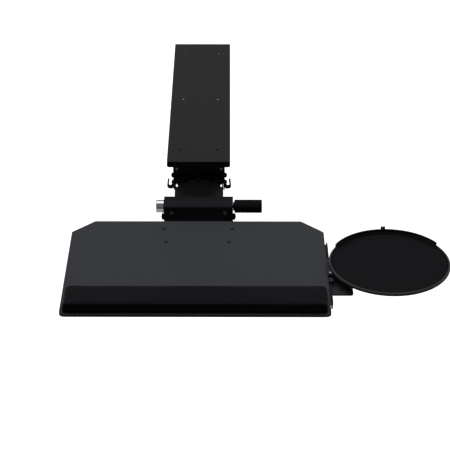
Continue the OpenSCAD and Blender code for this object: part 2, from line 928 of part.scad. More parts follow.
module tilt_yoke() {
    b = pivot_b;
    top = b[1] + slot_plate_low + slot_plate_t;
    y0 = b[0] - 8;
    y1 = b[0] + 18;
    color(paint)
        difference() {
            union() {
                side_pair(yoke_in, yoke_t, belt(pivot_d, link_ring + 1, pivot_b, yoke_ring));
                side_pair(yoke_in, yoke_t, rounded([[y0, b[1] - 2], [y1 - 8, b[1] - 2], [y1, b[1] + 4],
                                                    [y1, top], [y0, top]], [0, 0, 3, 0, 0]));
                block([-yoke_in - 1, y0, b[1] + slot_plate_low], [yoke_in + 1, y1, top]);
            }
            x_bar(tilt_rod_d / 2 + bore_gap, -yoke_out - 1, yoke_out + 1, pivot_b);
            x_bar(rod_d / 2 + bore_gap, -yoke_out - 1, yoke_out + 1, pivot_d);
            guide_slot();
        }
}

// The guide pin's place in the slot's plane when the tray is tilted
function guide_y(tilt) =
    let (h = (slot_mid - dial_back * sin(tilt)) / cos(tilt))
    pivot_b[0] + dial_back * cos(tilt) - h * sin(tilt);
guide_half = guide_d / 2 / cos(tilt_limit) + slot_plate_t / 2 * tan(tilt_limit) + slot_gap;

module guide_slot() {
    z0 = pivot_b[1] + slot_plate_low - 1;
    ends = [[-nut_travel, guide_y(-tilt_limit)], [nut_travel, guide_y(tilt_limit)]];
    run = ends[1] - ends[0];
    translate([0, 0, z0]) {
        for (e = ends)
            translate([e[0], e[1], 0])
                cylinder(r = guide_half, h = slot_plate_t + 2);
        translate([ends[0][0], ends[0][1], 0])
            rotate([0, 0, atan2(run[1], run[0])])
                translate([0, -guide_half, 0])
                    cube([norm(run), 2 * guide_half, slot_plate_t + 2]);
    }
}

module link_pin() {
    color(zinc)
        headed_rod(rod_d, yoke_out, rod_head_d, 2, pivot_d);
}

// Tilt head

head_rise_slope = (head_rise_back - head_rise_front) / (head_front + head_back);

module head_housing() {
    b = pivot_b;
    y1 = b[0] + head_back;
    low = b[1] - yoke_ring - 0.6;
    outer = rounded([[front_face, b[1] - head_skirt], [front_face, b[1] + head_rise_front],
                     [y1, b[1] + head_rise_back], [y1, b[1] - 2], [b[0] + 8, low], [b[0] - 8, low],
                     [front_face + head_t + side_gap, b[1] - head_skirt]],
                    [1, head_round, 1.5, 6, 4, 4, 0]);
    roof = [[front_face + head_t, b[1] - 60], [front_face + head_t, b[1] + head_rise_front - head_t],
            [y1 + 10, b[1] + head_rise_back - head_t + 10 * head_rise_slope], [y1 + 10, b[1] - 60]];
    color(paint)
        difference() {
            side_plate(-head_w / 2, head_w, outer);
            side_plate(-cheek_in, 2 * cheek_in, rounded(roof, [0, max(head_round - head_t, 1), 0, 0]));
            x_bar(tilt_rod_d / 2 + bore_gap, -head_w, head_w, pivot_b);
            x_bar(dial_bush_r + bore_gap, -head_w, head_w, dial);
            for (s = [-1, 1])
                translate([s * head_screw_x, front_face + head_t + 1, head_screw_z])
                    rotate([90, 0, 0])
                        cylinder(d = small_screw_d + 2 * bore_gap, h = head_t + 2);
        }
}

// Screws through the front face, with their nuts behind the tray bracket's tabs
module head_screws() {
    back = front_face + head_t + tray_ear_t;
    nut_t = 3;
    color(zinc)
        for (s = [-1, 1])
            translate([s * head_screw_x, 0, head_screw_z])
                rotate([90, 0, 0]) {
                    translate([0, 0, -back - nut_t])
                        cylinder(d = small_screw_d, h = nut_t + back - front_face);
                    translate([0, 0, -back - nut_t])
                        hex(small_head_d, nut_t);
                    translate([0, 0, -front_face])
                        dome_head(small_head_d, small_head_h);
                }
}

module front_pivot_rod() {
    color(paint)
        headed_rod(tilt_rod_d, head_w / 2, tilt_head_d, tilt_head_h, pivot_b);
}

module pivot_spacers() {
    stretches = [[tray_ear_out, cheek_in], [arm_out + side_gap, tray_ear_in],
                 [yoke_out + side_gap, arm_in - side_gap]];
    color(nylon)
        for (s = [0, 1], e = stretches)
            mirror([s, 0, 0])
                x_tube(tilt_rod_d / 2 + spacer_wall, tilt_rod_d / 2 + bore_gap, e[0], e[1], pivot_b);
}

module dial_bushes() {
    color(nylon)
        for (s = [0, 1])
            mirror([s, 0, 0]) {
                x_tube(dial_bush_r, shaft_d / 2 + bore_gap, cheek_in - 2, head_w / 2, dial);
                x_tube(dial_bush_r + 2, shaft_d / 2 + bore_gap, cheek_in - 3.5, cheek_in - seat_gap, dial);
            }
}

// Dial

collar_l = 2.3;
knob_x0 = head_w / 2 + side_gap + collar_l;

module tilt_shaft() {
    color(zinc)
        x_bar(shaft_d / 2, -head_w / 2 - end_cap_l + 3, knob_x0 + knob_l - 6, dial);
}

module knob_collar() {
    color(paint)
        x_tube(collar_d / 2, shaft_d / 2 + bore_gap, head_w / 2 + side_gap, knob_x0, dial);
}

// Grip with shallow grooves along it and rounded ends
module tilt_knob() {
    r = knob_d / 2;
    groove_r = 1.1;
    edge = 1.6;
    color(paint)
        translate([knob_x0, dial[0], dial[1]])
            rotate([0, 90, 0])
                difference() {
                    rotate_extrude()
                        polygon(rounded(box_pts(0, 0, r, knob_l), [0, edge, edge, 0]));
                    translate([0, 0, -1])
                        cylinder(r = shaft_d / 2 + bore_gap, h = knob_l - 6 + 1 + seat_gap);
                    for (i = [0:knob_grooves - 1])
                        rotate([0, 0, 360 * i / knob_grooves])
                            translate([r + 0.55, 0, 4])
                                cylinder(r = groove_r, h = knob_l - 8);
                }
}

// Polished cup on the shaft's far end
module shaft_end_cap() {
    r = end_cap_d / 2;
    x0 = head_w / 2 + side_gap;
    color(bright)
        mirror([1, 0, 0])
            translate([x0, dial[0], dial[1]])
                rotate([0, 90, 0])
                    difference() {
                        rotate_extrude()
                            polygon(rounded(box_pts(0, 0, r, end_cap_l), [0, 0.8, 1.6, 0]));
                        translate([0, 0, -1])
                            cylinder(r = shaft_d / 2 + bore_gap, h = end_cap_l - 3 - side_gap + 1 + seat_gap);
                    }
}

// Nut with the guide pin that runs in the yoke's slot
module tilt_nut() {
    half_x = 9;
    half_y = 8;
    half_z = 5.5;
    pin_low = pivot_b[1] + tilt_rod_d / 2 + 0.8;
    color(bright)
        difference() {
            union() {
                translate([-half_x, 0, 0])
                    side_plate(0, 2 * half_x, rounded(box_pts(dial[0] - half_y, dial[1] - half_z,
                                                              dial[0] + half_y, dial[1] + half_z),
                                                      [2, 2, 3, 3]));
                translate([0, dial[0], pin_low])
                    cylinder(d = guide_d, h = dial[1] - half_z - pin_low + 1);
            }
            x_bar(shaft_d / 2 + 2 * bore_gap, -half_x - 1, half_x + 1, dial);
        }
}

// Tray

// Ear: from under the board, below the head's front face, to the tilt pivot and the screw tab
tray_ear_pts = let (
        b = pivot_b,
        y_in = front_face + head_t,
        pass = b[1] - head_skirt - 0.7,
        y0 = board_back - ear_reach,
        low_front = [y0 + 16, tray_plate_low - 10],
        low_mid = [front_face, pass - 9],
        top_back = [b[0] - 6, head_screw_z - tab_down]
    )
    concat(
        [[y0, tray_plate_low + 1], [y0, tray_plate_low - 5], low_front, low_mid],
        arc(b, yoke_ring, touch(b, yoke_ring, low_mid, 1), touch(b, yoke_ring, top_back, -1), 2 * arc_steps),
        [top_back, [b[0] - 6, head_screw_z + tab_up], [y_in, head_screw_z + tab_up], [y_in, pass],
         [front_face - 3, pass], [board_back + 2, tray_plate_low], [board_back + 2, tray_plate_low + 1]]
    );

module tray_bracket() {
    plate_y1 = board_back - 2;
    y_in = front_face + head_t;
    tab_x0 = head_screw_x - 5;
    color(paint)
        difference() {
            union() {
                plan_plate(box_pts(-tray_plate_w / 2, tray_plate_y0, tray_plate_w / 2, plate_y1), [8, 8, 8, 8],
                           tray_plate_low, board_low);
                side_pair(tray_ear_in, tray_ear_t, tray_ear_pts);
                for (s = [0, 1])
                    mirror([s, 0, 0])
                        block([tab_x0, y_in, head_screw_z - tab_down],
                              [tray_ear_in + 1, y_in + tray_ear_t, head_screw_z + tab_up]);
            }
            x_bar(tilt_rod_d / 2 + bore_gap, -head_w, head_w, pivot_b);
            for (p = board_screws_at)
                translate([p[0], p[1], tray_plate_low - 1])
                    cylinder(d = small_screw_d + 2 * bore_gap, h = tray_plate_t + 2);
            for (s = [-1, 1])
                translate([s * head_screw_x, y_in + tray_ear_t + 1, head_screw_z])
                    rotate([90, 0, 0])
                        cylinder(d = small_screw_d + 2 * bore_gap, h = tray_ear_t + 2);
        }
}

// Countersunk screw with its head flush with z = 0, pointing down
module csk_screw(d, head_d, l) {
    head_l = (head_d - d) / 2;
    translate([0, 0, -l])
        cylinder(d = d, h = l - head_l + 0.01);
    translate([0, 0, -head_l])
        cylinder(d1 = d, d2 = head_d, h = head_l);
}

module board() {
    w = board_w / 2;
    color(board_black)
        difference() {
            plan_plate([[-w, board_front], [w, board_front], [w, board_back - board_cut],
                        [w - board_cut, board_back], [-w + board_cut, board_back],
                        [-w, board_back - board_cut]],
                       [board_round, board_round, 6, 6, 6, 6], board_low, board_top);
            block([-board_w, board_front - 1, board_top - palm_step], [board_w, palm_y1 + 2, board_top + 1]);
            for (p = board_screws_at)
                translate([p[0], p[1], board_top])
                    csk_screw(small_screw_d + 2 * bore_gap, csk_d + 2 * bore_gap, board_t + 1);
            for (p = rail_screws_at)
                translate([p[0], p[1], board_low - 1])
                    cylinder(d = small_screw_d + 2 * bore_gap, h = board_t - 1 + 1);
        }
}

module board_screws() {
    color(paint)
        for (p = board_screws_at)
            translate([p[0], p[1], board_top - 0.2])
                csk_screw(small_screw_d, csk_d - 0.4, board_t + tray_plate_t + board_nut_h);
}

module board_nuts() {
    color(zinc)
        for (p = board_screws_at)
            translate([p[0], p[1], tray_plate_low - board_nut_h])
                difference() {
                    hex(board_nut_af, board_nut_h);
                    translate([0, 0, -1])
                        cylinder(d = small_screw_d + 2 * bore_gap, h = board_nut_h + 2);
                }
}

// Foam palm rest: highest near its front, rolled over at the front, the back and both ends
palm_end_r = 11;
palm_end_steps = 7;
palm_low = board_top - palm_step;
palm_xs = let (h = palm_w / 2)
    concat(
        [for (i = [0:palm_end_steps]) -h + palm_end_r * (1 - cos(90 * i / palm_end_steps))],
        [for (i = [-2:2]) i * (h - palm_end_r) / 3],
        [for (i = [palm_end_steps:-1:0]) h - palm_end_r * (1 - cos(90 * i / palm_end_steps))]
    );

// Outline of one section as [y, height], from the front foot over the top to the back foot
function palm_outline(inset) =
    let (
        y0 = palm_y0 + inset,
        y1 = palm_y1 - inset,
        crest = palm_h + palm_step,
        tail = palm_back_h + palm_step
    )
    concat([[y0, 0]],
           arc([y0 + palm_front_r, crest - palm_front_r], palm_front_r, 180, 90, 8),
           arc([y1 - palm_back_r, tail - palm_back_r], palm_back_r, 90, 0, 6),
           [[y1, 0]]);

function palm_section(x) =
    let (
        near = max(0, 1 - (palm_w / 2 - abs(x)) / palm_end_r),
        roll = sqrt(1 - near * near)
    )
    [for (p = palm_outline(palm_end_r * (1 - roll))) [x, p[0], palm_low + p[1] * (0.55 + 0.45 * roll)]];

module palm_rest() {
    m = len(palm_outline(0));
    n = len(palm_xs);
    pts = [for (x = palm_xs) each palm_section(x)];
    faces = concat(
        [for (k = [1:m - 2]) [0, k + 1, k]],
        [for (i = [0:n - 2], k = [0:m - 1])
            let (a = i * m + k, b = i * m + (k + 1) % m)
            each [[a, b, a + m], [b, b + m, a + m]]],
        [for (k = [1:m - 2]) let (e = (n - 1) * m) [e, e + k, e + k + 1]]
    );
    color(skin)
        polyhedron(points = pts, faces = faces);
}

// Mouse rail and clip

rail_screws_at = [for (f = [0.08, 0.36, 0.64, 0.92]) [rail_screw_x, rail_y0 + rail_l * f]];

// Angle strip: its flange is screwed under the board, its lip stands off the board's edge
module mouse_rail() {
    x0 = rail_out_x - rail_flange;
    color(paint)
        difference() {
            union() {
                plan_plate(box_pts(x0, rail_y0 + 10, rail_out_x, rail_y1 - 4), [3, 3, 3, 3],
                           rail_under, board_low);
                plan_plate([[rail_in_x - 2, rail_y0], [rail_out_x - 1.4, rail_y0], [rail_out_x, rail_y0 + 16],
                            [rail_out_x, rail_y1], [rail_in_x, rail_y1], [rail_in_x, rail_y0 + 16]],
                           [0, 1, 20, 0.8, 0.8, 20], rail_under, rail_top);
            }
            for (p = rail_screws_at)
                translate([p[0], p[1], rail_under - 1])
                    cylinder(d = small_screw_d + 2 * bore_gap, h = rail_t + 2);
        }
}

module rail_screws() {
    color(zinc)
        for (p = rail_screws_at)
            translate([p[0], p[1], rail_under]) {
                cylinder(d = small_screw_d, h = rail_t + board_t - 1.2);
                mirror([0, 0, 1])
                    dome_head(small_head_d, small_head_h);
            }
}

// Hook over the rail's lip with a shelf below it and a boss for the swing pin
module mouse_clip() {
    y1 = clip_y0 + clip_l;
    under_x0 = rail_screw_x + small_head_d / 2 + 4;
    shelf_x1 = clip_x1 + shelf_w;
    color(paint)
        difference() {
            union() {
                block([clip_x0, clip_y0, clip_bar_low], [clip_x1, y1, clip_bar_top]);
                block([clip_x0, clip_y0, rail_top - 2.2], [clip_x0 + finger_t, y1, clip_bar_low + 1]);
                block([clip_wall_x0, clip_y0, shelf_low], [clip_x1, y1, clip_bar_top]);
                plan_plate([[under_x0, clip_y0], [clip_wall_x0, clip_y0], [clip_wall_x0, pin_y - shelf_fwd],
                            [shelf_x1, pin_y - shelf_fwd], [shelf_x1, y1], [under_x0, y1]],
                           [2, 0, 1, 5, 12, 2], shelf_low, shelf_top);
                translate([pin_x, pin_y, clip_bar_low])
                    cylinder(r = boss_r, h = boss_top - clip_bar_low);
            }
            translate([pin_x, pin_y, clip_bar_low - 1])
                cylinder(r = pin_d / 2 + bore_gap, h = boss_top - clip_bar_low + 2);
            translate([clip_x1 + shelf_hole_out, pin_y - shelf_fwd + shelf_hole_in, shelf_low - 1])
                cylinder(d = small_screw_d + 2 * bore_gap, h = shelf_t + 2);
        }
}

module swing_pin() {
    color(bright)
        translate([pin_x, pin_y, 0]) {
            translate([0, 0, clip_bar_low])
                cylinder(d = pin_d, h = disc_low + 0.2 - clip_bar_low);
            translate([0, 0, disc_low + 0.2])
                dome_head(pin_head_d, pin_head_h);
        }
}

// Steel tab that carries the platform from its pin
module swing_arm() {
    x0 = pin_x - swing_left;
    color(paint)
        difference() {
            plan_plate([[x0, pin_y - swing_front], [pin_x + 14, pin_y - swing_front],
                        disc_c + [-swing_wide_at, -swing_wide[0]], disc_c + [0, -swing_tip],
                        disc_c + [0, swing_tip], disc_c + [-swing_wide_at, swing_wide[1]],
                        [x0 + 10, pin_y + swing_back], [x0, pin_y + swing_back]],
                       [4, 10, 16, 12, 12, 16, 6, 3], swing_low, disc_low);
            translate([pin_x, pin_y, swing_low - 1])
                cylinder(r = pin_d / 2 + bore_gap, h = swing_t + 2);
            for (p = platform_screws_at)
                translate([p[0], p[1], swing_low - 1])
                    cylinder(d = small_screw_d + 2 * bore_gap, h = swing_t + 2);
        }
}

module platform_screws() {
    color(zinc)
        for (p = platform_screws_at)
            translate([p[0], p[1], swing_low]) {
                cylinder(d = small_screw_d, h = swing_t + 1.4);
                mirror([0, 0, 1])
                    dome_head(small_head_d, 1.8);
            }
}

// Dished round platform with a lip all round and a fence along its back
module mouse_platform() {
    r = disc_d / 2;
    floor_z = disc_top - mat_drop - mat_t;
    fence_t = 2.4;
    lip_r = 2.4;
    foot_r = 1;
    rim = concat(arc([r - foot_r, disc_low + foot_r], foot_r, -90, 0),
                 arc([r - lip_r, disc_top - lip_r], lip_r, 0, 90),
                 corner([r - lip_r, disc_top], [r - lip_w, disc_top], [r - lip_w - 0.5, floor_z], 0.6));
    color(board_black)
        difference() {
            translate([disc_c[0], disc_c[1], 0]) {
                rotate_extrude($fn = 180)
                    polygon(concat([[0, disc_low]], rim, [[r - lip_w - 0.5, floor_z], [0, floor_z]]));
                rotate([0, 0, 90 + fence_turn - fence_angle / 2])
                    rotate_extrude(angle = fence_angle, $fn = 180)
                        polygon(rounded(box_pts(r - fence_in - fence_t, disc_top - 2,
                                                r - fence_in, disc_top + fence_h), [0, 0, 1, 1]));
            }
            for (p = platform_screws_at)
                translate([p[0], p[1], disc_low - 1])
                    cylinder(d = small_screw_d + 2 * bore_gap, h = 1 + 1.6);
        }
}

module mouse_mat() {
    color(rubber)
        translate([disc_c[0], disc_c[1], disc_top - mat_drop - mat_t])
            cylinder(r = mat_r, h = mat_t, $fn = 180);
}

// Small clip on the fence that guides the mouse's cord
module cord_clip() {
    r = disc_d / 2 - fence_in;
    clip_w = 8;
    clip_t = 3.2;
    hook_over = 1.6;
    foot = disc_top - 0.5;
    top = disc_top + fence_h;
    head = top + 4;
    color(paint)
        translate([disc_c[0], disc_c[1], 0])
            rotate([0, 0, fence_turn])
                translate([-clip_w / 2, r + seat_gap, 0])
                    side_plate(0, clip_w, rounded([[0, foot], [clip_t, foot], [clip_t, head],
                                                   [-hook_over, head], [-hook_over, top + seat_gap],
                                                   [0, top + seat_gap]],
                                                  [0, 1, 1.8, 1.8, 0, 0]));
}

track();
track_end_caps();
carriage_plate();
carriage_glides();
swivel_hub();
swivel_washer();
swivel_bolt();
swivel_nut();
swivel_bracket();
cable_hook_left();
cable_hook_right();
hook_rivets();
apron_rivets();
upper_pivot_rod();
lower_pivot_rod();
spring_mandrel();
counterbalance_springs();
link_spacers();
arm_channel();
arm_bushes();
lower_link();
link_bushes();
tilt_yoke();
link_pin();
head_housing();
head_screws();
front_pivot_rod();
pivot_spacers();
dial_bushes();
tilt_shaft();
tilt_knob();
knob_collar();
shaft_end_cap();
tilt_nut();
tray_bracket();
board();
board_screws();
board_nuts();
palm_rest();
mouse_rail();
rail_screws();
mouse_clip();
swing_pin();
swing_arm();
platform_screws();
mouse_platform();
mouse_mat();
cord_clip();
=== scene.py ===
"""Looks of the keyboard tray: finishes, palm rest, springs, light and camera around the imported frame."""

import math

import bmesh
import bpy
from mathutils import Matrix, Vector


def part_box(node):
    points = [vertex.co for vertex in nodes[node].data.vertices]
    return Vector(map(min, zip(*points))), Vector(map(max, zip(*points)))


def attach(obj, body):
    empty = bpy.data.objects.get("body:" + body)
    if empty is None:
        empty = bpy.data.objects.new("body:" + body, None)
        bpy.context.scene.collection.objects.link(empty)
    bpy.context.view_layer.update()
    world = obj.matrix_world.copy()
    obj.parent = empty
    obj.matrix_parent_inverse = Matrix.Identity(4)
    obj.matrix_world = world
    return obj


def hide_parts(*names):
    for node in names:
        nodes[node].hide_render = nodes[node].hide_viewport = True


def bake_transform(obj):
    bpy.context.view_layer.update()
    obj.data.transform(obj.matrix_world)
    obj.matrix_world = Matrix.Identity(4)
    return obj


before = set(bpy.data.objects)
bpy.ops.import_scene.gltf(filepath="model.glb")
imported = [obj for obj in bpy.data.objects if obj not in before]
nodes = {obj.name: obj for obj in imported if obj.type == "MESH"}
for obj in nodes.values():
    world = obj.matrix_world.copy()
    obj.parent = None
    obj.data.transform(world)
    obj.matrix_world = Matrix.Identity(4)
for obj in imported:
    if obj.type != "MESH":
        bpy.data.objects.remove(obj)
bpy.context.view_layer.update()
scene = bpy.context.scene


def tint(red, green, blue):
    """Linear colour of a screen colour given as 0 to 255."""
    def linear(level):
        level = level / 255
        return level / 12.92 if level <= 0.04045 else ((level + 0.055) / 1.055) ** 2.4
    return (linear(red), linear(green), linear(blue), 1.0)


WHITE = (1.0, 1.0, 1.0, 1.0)
# Near-black colour mixed in as painted shade where corners would lie in shadow.
PAINTED_SHADE_TONE = tint(4, 4, 5)


# Camera

camera_data = bpy.data.cameras.new("typist_view")
camera_data.sensor_width = 36.0
camera_data.lens = 132.0
camera_data.clip_end = 50.0
camera = bpy.data.objects.new("typist_view", camera_data)
camera.location = (0.0582, -3.0684, 1.4569)
camera.rotation_euler = (math.radians(60.225), 0.0, math.radians(0.157))
scene.collection.objects.link(camera)
scene.camera = camera


# Shader nodes

def feed(tree, slot, source):
    """Give a node's input its source, which is another node's output or a plain value."""
    if isinstance(source, bpy.types.NodeSocket):
        tree.links.new(source, slot)
    else:
        slot.default_value = source


def math_node(tree, operation, first, second=None, clamp=False):
    """Math node; gives its output socket."""
    node = tree.nodes.new("ShaderNodeMath")
    node.operation = operation
    node.use_clamp = clamp
    feed(tree, node.inputs[0], first)
    if second is not None:
        feed(tree, node.inputs[1], second)
    return node.outputs[0]


def mix_colour(tree, blend, factor, first, second):
    """Colour mix; gives its output socket."""
    node = tree.nodes.new("ShaderNodeMix")
    node.data_type = "RGBA"
    node.blend_type = blend
    for slot, source in ((node.inputs[0], factor), (node.inputs[6], first), (node.inputs[7], second)):
        feed(tree, slot, source)
    return node.outputs[2]


def noise(tree, coordinates, scale, detail=3.0, rough=0.5):
    """Noise texture; gives its value socket."""
    node = tree.nodes.new("ShaderNodeTexNoise")
    node.inputs["Detail"].default_value = detail
    node.inputs["Roughness"].default_value = rough
    feed(tree, node.inputs["Scale"], scale)
    feed(tree, node.inputs["Vector"], coordinates)
    return node.outputs[0]


def map_range(tree, value, start, stop, low=0.0, high=1.0, curve="SMOOTHSTEP"):
    """Value carried from the span start to stop over to the span low to high; gives its output socket."""
    node = tree.nodes.new("ShaderNodeMapRange")
    node.interpolation_type = curve
    for label, source in (("Value", value), ("From Min", start), ("From Max", stop), ("To Min", low), ("To Max", high)):
        feed(tree, node.inputs[label], source)
    return node.outputs[0]


def object_coordinates(tree):
    return tree.nodes.new("ShaderNodeTexCoord").outputs["Object"]


# Shader groups shared by the finishes

def new_group(name, inputs, outputs):
    """Empty shader group with float, colour or vector sockets, and its input and output nodes."""
    tree = bpy.data.node_groups.new(name, "ShaderNodeTree")
    kinds = {"value": "NodeSocketFloat", "colour": "NodeSocketColor", "vector": "NodeSocketVector"}
    for label, kind, default in inputs:
        socket = tree.interface.new_socket(name=label, in_out="INPUT", socket_type=kinds[kind])
        socket.default_value = default
    for label, kind in outputs:
        tree.interface.new_socket(name=label, in_out="OUTPUT", socket_type=kinds[kind])
    return tree, tree.nodes.new("NodeGroupInput"), tree.nodes.new("NodeGroupOutput")


def make_grain():
    """Fine grain and cloudy shade of a coated or moulded surface."""
    cloud_scale = 26.0
    fine_share, cloud_share = 0.45, 0.55
    tree, given, result = new_group(
        "surface_grain",
        [("Colour", "colour", (0.05, 0.05, 0.05, 1.0)), ("Shade", "value", 0.3), ("Grain Scale", "value", 900.0),
         ("Roughness", "value", 0.5), ("Spread", "value", 0.15)],
        [("Colour", "colour"), ("Roughness", "value"), ("Height", "value")])
    where = object_coordinates(tree)
    fine = noise(tree, where, given.outputs["Grain Scale"], 3.0, 0.55)
    cloud = noise(tree, where, cloud_scale, 4.0, 0.6)
    both = math_node(tree, "ADD", math_node(tree, "MULTIPLY", fine, fine_share),
                     math_node(tree, "MULTIPLY", cloud, cloud_share))
    centred = math_node(tree, "SUBTRACT", both, 0.5)
    lift = math_node(tree, "ADD", math_node(tree, "MULTIPLY", centred, given.outputs["Shade"]), 1.0)
    grey = tree.nodes.new("ShaderNodeCombineColor")
    for channel in grey.inputs:
        feed(tree, channel, lift)
    feed(tree, result.inputs["Colour"],
         mix_colour(tree, "MULTIPLY", 1.0, given.outputs["Colour"], grey.outputs[0]))
    swing = math_node(tree, "MULTIPLY", centred, given.outputs["Spread"])
    feed(tree, result.inputs["Roughness"], math_node(tree, "ADD", given.outputs["Roughness"], swing, clamp=True))
    feed(tree, result.inputs["Height"], fine)
    return tree


def make_edge_wear():
    """Mask of the rubbed edges, and the normal that softens them."""
    bend_gain = 5.0
    patch_scale, patch_gain = 140.0, 1.7
    tree, given, result = new_group(
        "edge_wear", [("Width", "value", 0.0006), ("Amount", "value", 0.3)], [("Mask", "value"), ("Normal", "vector")])
    bevel = tree.nodes.new("ShaderNodeBevel")
    bevel.samples = 6
    feed(tree, bevel.inputs["Radius"], given.outputs["Width"])
    dot = tree.nodes.new("ShaderNodeVectorMath")
    dot.operation = "DOT_PRODUCT"
    feed(tree, dot.inputs[0], bevel.outputs[0])
    feed(tree, dot.inputs[1], tree.nodes.new("ShaderNodeNewGeometry").outputs["Normal"])
    bend = math_node(tree, "MULTIPLY", math_node(tree, "SUBTRACT", 1.0, dot.outputs["Value"]), bend_gain, clamp=True)
    patches = math_node(tree, "MULTIPLY", noise(tree, object_coordinates(tree), patch_scale, 4.0, 0.6), patch_gain)
    mask = math_node(tree, "MULTIPLY", math_node(tree, "MULTIPLY", bend, patches), given.outputs["Amount"], clamp=True)
    feed(tree, result.inputs["Mask"], mask)
    feed(tree, result.inputs["Normal"], bevel.outputs[0])
    return tree


def make_tool_marks():
    """Fine turned or drawn lines of bare metal, stretched along one direction."""
    line_scale = 320.0
    tree, given, result = new_group(
        "tool_marks",
        [("Stretch", "vector", (1.0, 1.0, 1.0)), ("Roughness", "value", 0.3), ("Spread", "value", 0.2)],
        [("Roughness", "value"), ("Height", "value")])
    scaled = tree.nodes.new("ShaderNodeVectorMath")
    scaled.operation = "MULTIPLY"
    feed(tree, scaled.inputs[0], object_coordinates(tree))
    feed(tree, scaled.inputs[1], given.outputs["Stretch"])
    lines = noise(tree, scaled.outputs[0], line_scale, 4.0, 0.65)
    centred = math_node(tree, "SUBTRACT", lines, 0.5)
    swing = math_node(tree, "MULTIPLY", centred, given.outputs["Spread"])
    feed(tree, result.inputs["Roughness"], math_node(tree, "ADD", given.outputs["Roughness"], swing, clamp=True))
    feed(tree, result.inputs["Height"], lines)
    return tree


def make_painted_corner_shade():
    """Mask that is one in the open and falls to nought in a corner between two pieces, where the finishes paint shade.
    """
    tree, given, result = new_group(
        "painted_corner_shade",
        [("Reach", "value", 0.02), ("Deepest", "value", 0.76), ("Open", "value", 0.94)], [("Mask", "value")])
    painted_shade_node = tree.nodes.new("ShaderNodeAmbientOcclusion")
    painted_shade_node.samples = 8
    feed(tree, painted_shade_node.inputs["Distance"], given.outputs["Reach"])
    feed(tree, result.inputs["Mask"],
         map_range(tree, painted_shade_node.outputs["AO"], given.outputs["Deepest"], given.outputs["Open"]))
    return tree


GRAIN = make_grain()
EDGE_WEAR = make_edge_wear()
TOOL_MARKS = make_tool_marks()
PAINTED_CORNER_SHADE = make_painted_corner_shade()


# Finishes

def new_material(name):
    material = bpy.data.materials.new(name)
    material.use_nodes = True
    tree = material.node_tree
    return material, tree, tree.nodes["Principled BSDF"]


def place(tree, group, **values):
    """One use of a shader group with its own values; underscores stand for spaces."""
    node = tree.nodes.new("ShaderNodeGroup")
    node.node_tree = group
    for label, value in values.items():
        node.inputs[label.replace("_", " ")].default_value = value
    return node


def bump(tree, shader, height, strength, distance, normal=None):
    node = tree.nodes.new("ShaderNodeBump")
    node.inputs["Strength"].default_value = strength
    node.inputs["Distance"].default_value = distance
    feed(tree, node.inputs["Height"], height)
    if normal is not None:
        feed(tree, node.inputs["Normal"], normal)
    feed(tree, shader.inputs["Normal"], node.outputs[0])


def coated(name, colour, worn_and_highlight, *, roughness, spread, shade, grain, depth, wear, specular, painted_shade_reach=None):
    """Painted or moulded finish: grained colour, uneven gloss, edges rubbed lighter.

    Corners get painted shade, a near-black mix where light would be blocked, if they have a reach. A bright worn colour
    makes the rubbed edges a painted highlight as well as wear.
    """
    material, tree, shader = new_material(name)
    body = place(tree, GRAIN, Colour=colour, Shade=shade, Grain_Scale=grain, Roughness=roughness, Spread=spread)
    edge = place(tree, EDGE_WEAR, Width=0.0006, Amount=wear)
    wear_highlight_and_shade = mix_colour(tree, "MIX", edge.outputs["Mask"], body.outputs["Colour"], worn_and_highlight)
    # Painted shade: corners are mixed toward a near-black tone where the occlusion mask falls.
    if painted_shade_reach:
        painted_shade_node = place(tree, PAINTED_CORNER_SHADE, Reach=painted_shade_reach, Deepest=0.5, Open=0.8)
        wear_highlight_and_shade = mix_colour(tree, "MIX", painted_shade_node.outputs["Mask"], PAINTED_SHADE_TONE, wear_highlight_and_shade)
    feed(tree, shader.inputs["Base Color"], wear_highlight_and_shade)
    feed(tree, shader.inputs["Roughness"], body.outputs["Roughness"])
    shader.inputs["Specular IOR Level"].default_value = specular
    bump(tree, shader, body.outputs["Height"], 0.5, depth, edge.outputs["Normal"])
    return material


def edged_board_with_side_shade():
    """Fine-textured grey board face; faces turned sideways take a near-black tone, partly a black edging strip and
    partly painted shade on the vertical sides.
    """
    flattest_side = 0.6
    material, tree, shader = new_material("board_face")
    face = place(tree, GRAIN, Colour=tint(45, 46, 49), Shade=0.36, Grain_Scale=2200.0, Roughness=0.66, Spread=0.12)
    edging_and_side_shade = place(tree, GRAIN, Colour=tint(5, 5, 6), Shade=0.3, Grain_Scale=900.0, Roughness=0.5, Spread=0.12)
    edge = place(tree, EDGE_WEAR, Width=0.0004, Amount=0.06)
    # Painted shade: faces are picked by their facing, so every vertical side goes near-black.
    facing = tree.nodes.new("ShaderNodeSeparateXYZ")
    feed(tree, facing.inputs[0], tree.nodes.new("ShaderNodeTexCoord").outputs["Normal"])
    side = math_node(tree, "LESS_THAN", math_node(tree, "ABSOLUTE", facing.outputs["Z"]), flattest_side)
    colour = mix_colour(tree, "MIX", side, face.outputs["Colour"], edging_and_side_shade.outputs["Colour"])
    feed(tree, shader.inputs["Base Color"], mix_colour(tree, "MIX", edge.outputs["Mask"], colour, tint(66, 66, 68)))
    feed(tree, shader.inputs["Roughness"], face.outputs["Roughness"])
    shader.inputs["Specular IOR Level"].default_value = 0.05
    bump(tree, shader, face.outputs["Height"], 0.5, 0.00008, edge.outputs["Normal"])
    return material


